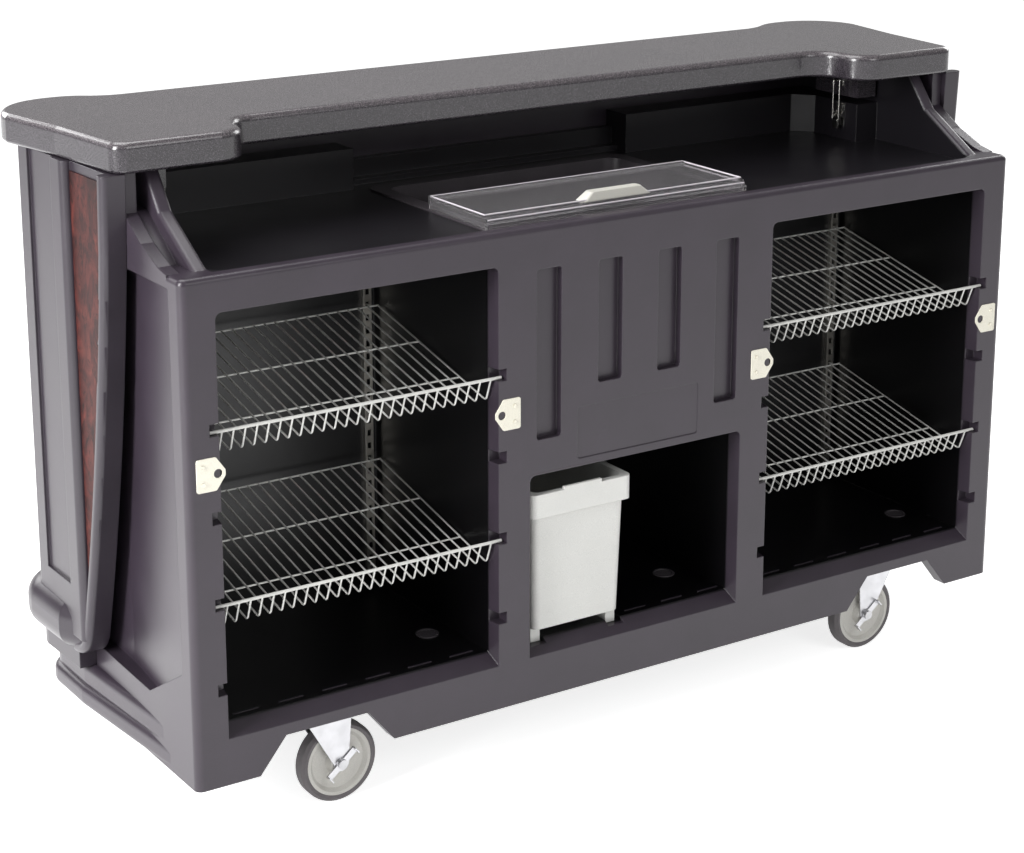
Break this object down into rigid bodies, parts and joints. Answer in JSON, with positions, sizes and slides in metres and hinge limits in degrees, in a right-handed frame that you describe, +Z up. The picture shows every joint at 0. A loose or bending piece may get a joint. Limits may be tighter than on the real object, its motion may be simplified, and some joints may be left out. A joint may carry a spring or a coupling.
{
  "type": "portable bar",
  "caption": "Wheeled free-standing bar with a lobed granite-look top, two can-rack bays, a centre compartment with a bin, and an ice sink under a sliding clear lid.",
  "frame": {"origin": "on the floor under the middle of the bounding box", "axes": "+X along the bar's length, to the right for the bartender; -Y towards the bartender; +Z up"},
  "size_m": [1.972, 0.672, 1.21],
  "materials": {
    "cabinet_plastic": "fine moulded texture",
    "shell_plastic": "fine moulded texture",
    "burl_laminate": "glossy burl laminate",
    "granite_top": "speckled satin",
    "cream_plastic": "satin",
    "rivet_metal": "satin",
    "rack_wire": "white powder coat",
    "standard_steel": "satin",
    "screw_steel": "satin",
    "latch_steel": "bright",
    "zinc_steel": "bright zinc",
    "axle_steel": "bright zinc",
    "tyre_rubber": "grey rubber",
    "wheel_plastic": "satin",
    "sink_plastic": "smooth",
    "drain_plastic": "smooth",
    "plug_plastic": "smooth",
    "clear_plastic": "clear",
    "handle_plastic": "satin",
    "bin_plastic": "satin"
  },
  "bodies": {
    "bar": {"cabinet_body": "cabinet_plastic", "ice_sink": "sink_plastic", "sink_drain_fitting": "drain_plastic", "sink_drain_nut": "drain_plastic", "customer_shell": "shell_plastic", "end_panel_left": "burl_laminate", "end_panel_right": "burl_laminate", "front_panel_left": "burl_laminate", "front_panel_centre": "burl_laminate", "front_panel_right": "burl_laminate", "bar_top": "granite_top", "keeper_plate_left_outer": "cream_plastic", "keeper_plate_left_inner": "cream_plastic", "keeper_plate_right_inner": "cream_plastic", "keeper_plate_right_outer": "cream_plastic", "keeper_rivets": "rivet_metal", "rack_standard_left_outer": "standard_steel", "rack_standard_left_inner": "standard_steel", "rack_standard_right_inner": "standard_steel", "rack_standard_right_outer": "standard_steel", "standard_screws": "screw_steel", "floor_drain_plugs": "plug_plastic", "latch_bases": "latch_steel", "latch_keepers": "latch_steel", "latch_screws": "screw_steel", "caster_plate_front_left": "zinc_steel", "caster_plate_front_right": "zinc_steel", "caster_plate_rear_left": "zinc_steel", "caster_plate_rear_right": "zinc_steel", "caster_bolts": "screw_steel"},
    "lid": {"sliding_lid": "clear_plastic", "lid_handle": "handle_plastic"},
    "bin": {"bin": "bin_plastic"},
    "rack_upper_left": {"rack_upper_left": "rack_wire"},
    "rack_lower_left": {"rack_lower_left": "rack_wire"},
    "rack_upper_right": {"rack_upper_right": "rack_wire"},
    "rack_lower_right": {"rack_lower_right": "rack_wire"},
    "latch_lever_left": {"latch_lever_left": "latch_steel"},
    "latch_bail_left": {"latch_bail_left": "latch_steel"},
    "latch_lever_right": {"latch_lever_right": "latch_steel"},
    "latch_bail_right": {"latch_bail_right": "latch_steel"},
    "caster_front_left": {"caster_fork_front_left": "zinc_steel", "caster_axle_front_left": "axle_steel"},
    "wheel_front_left": {"caster_tyre_front_left": "tyre_rubber", "caster_wheel_front_left": "wheel_plastic"},
    "brake_left": {"brake_lever_left": "zinc_steel"},
    "caster_front_right": {"caster_fork_front_right": "zinc_steel", "caster_axle_front_right": "axle_steel"},
    "wheel_front_right": {"caster_tyre_front_right": "tyre_rubber", "caster_wheel_front_right": "wheel_plastic"},
    "brake_right": {"brake_lever_right": "zinc_steel"},
    "caster_rear_left": {"caster_fork_rear_left": "zinc_steel", "caster_axle_rear_left": "axle_steel"},
    "wheel_rear_left": {"caster_tyre_rear_left": "tyre_rubber", "caster_wheel_rear_left": "wheel_plastic"},
    "caster_rear_right": {"caster_fork_rear_right": "zinc_steel", "caster_axle_rear_right": "axle_steel"},
    "wheel_rear_right": {"caster_tyre_rear_right": "tyre_rubber", "caster_wheel_rear_right": "wheel_plastic"}
  },
  "joints": [
    {"name": "lid_slide", "type": "slide", "parent": "bar", "child": "lid", "axis": [0, 1, 0], "range_m": [0, 0.2]},
    {"name": "bin_slide", "type": "slide", "parent": "bar", "child": "bin", "axis": [0, -1, 0], "range_m": [0, 0.3]},
    {"name": "rack_slide_upper_left", "type": "slide", "parent": "bar", "child": "rack_upper_left", "axis": [0, -1, 0], "range_m": [0, 0.35]},
    {"name": "rack_slide_lower_left", "type": "slide", "parent": "bar", "child": "rack_lower_left", "axis": [0, -1, 0], "range_m": [0, 0.35]},
    {"name": "rack_slide_upper_right", "type": "slide", "parent": "bar", "child": "rack_upper_right", "axis": [0, -1, 0], "range_m": [0, 0.35]},
    {"name": "rack_slide_lower_right", "type": "slide", "parent": "bar", "child": "rack_lower_right", "axis": [0, -1, 0], "range_m": [0, 0.35]},
    {"name": "latch_lever_turn_left", "type": "hinge", "parent": "bar", "child": "latch_lever_left", "pos_m": [-0.782, 0.033, 1.056], "axis": [0, -1, 0], "range_deg": [0, 110]},
    {"name": "latch_bail_turn_left", "type": "hinge", "parent": "latch_lever_left", "child": "latch_bail_left", "pos_m": [-0.775, 0.033, 1.046], "axis": [0, -1, 0], "range_deg": [-110, 0]},
    {"name": "latch_lever_turn_right", "type": "hinge", "parent": "bar", "child": "latch_lever_right", "pos_m": [0.782, 0.033, 1.056], "axis": [0, 1, 0], "range_deg": [0, 110]},
    {"name": "latch_bail_turn_right", "type": "hinge", "parent": "latch_lever_right", "child": "latch_bail_right", "pos_m": [0.775, 0.033, 1.046], "axis": [0, 1, 0], "range_deg": [-110, 0]},
    {"name": "swivel_front_left", "type": "hinge", "parent": "bar", "child": "caster_front_left", "pos_m": [-0.655, -0.2725, 0.17], "axis": [0, 0, 1], "continuous": true},
    {"name": "wheel_spin_front_left", "type": "hinge", "parent": "caster_front_left", "child": "wheel_front_left", "pos_m": [-0.62, -0.2725, 0.076], "axis": [0, 1, 0], "continuous": true},
    {"name": "brake_rock_left", "type": "hinge", "parent": "caster_front_left", "child": "brake_left", "pos_m": [-0.62, -0.2725, 0.076], "axis": [0, 1, 0], "range_deg": [0, 30]},
    {"name": "swivel_front_right", "type": "hinge", "parent": "bar", "child": "caster_front_right", "pos_m": [0.655, -0.2725, 0.17], "axis": [0, 0, 1], "continuous": true},
    {"name": "wheel_spin_front_right", "type": "hinge", "parent": "caster_front_right", "child": "wheel_front_right", "pos_m": [0.62, -0.2725, 0.076], "axis": [0, 1, 0], "continuous": true},
    {"name": "brake_rock_right", "type": "hinge", "parent": "caster_front_right", "child": "brake_right", "pos_m": [0.62, -0.2725, 0.076], "axis": [0, 1, 0], "range_deg": [0, 30]},
    {"name": "swivel_rear_left", "type": "hinge", "parent": "bar", "child": "caster_rear_left", "pos_m": [-0.655, 0.1075, 0.17], "axis": [0, 0, 1], "continuous": true},
    {"name": "wheel_spin_rear_left", "type": "hinge", "parent": "caster_rear_left", "child": "wheel_rear_left", "pos_m": [-0.62, 0.1075, 0.076], "axis": [0, 1, 0], "continuous": true},
    {"name": "swivel_rear_right", "type": "hinge", "parent": "bar", "child": "caster_rear_right", "pos_m": [0.655, 0.1075, 0.17], "axis": [0, 0, 1], "continuous": true},
    {"name": "wheel_spin_rear_right", "type": "hinge", "parent": "caster_rear_right", "child": "wheel_rear_right", "pos_m": [0.62, 0.1075, 0.076], "axis": [0, 1, 0], "continuous": true}
  ],
  "couplings": [
    {"joint": "latch_bail_turn_left", "follows": "latch_lever_turn_left", "ratio": -1},
    {"joint": "latch_bail_turn_right", "follows": "latch_lever_turn_right", "ratio": -1}
  ]
}
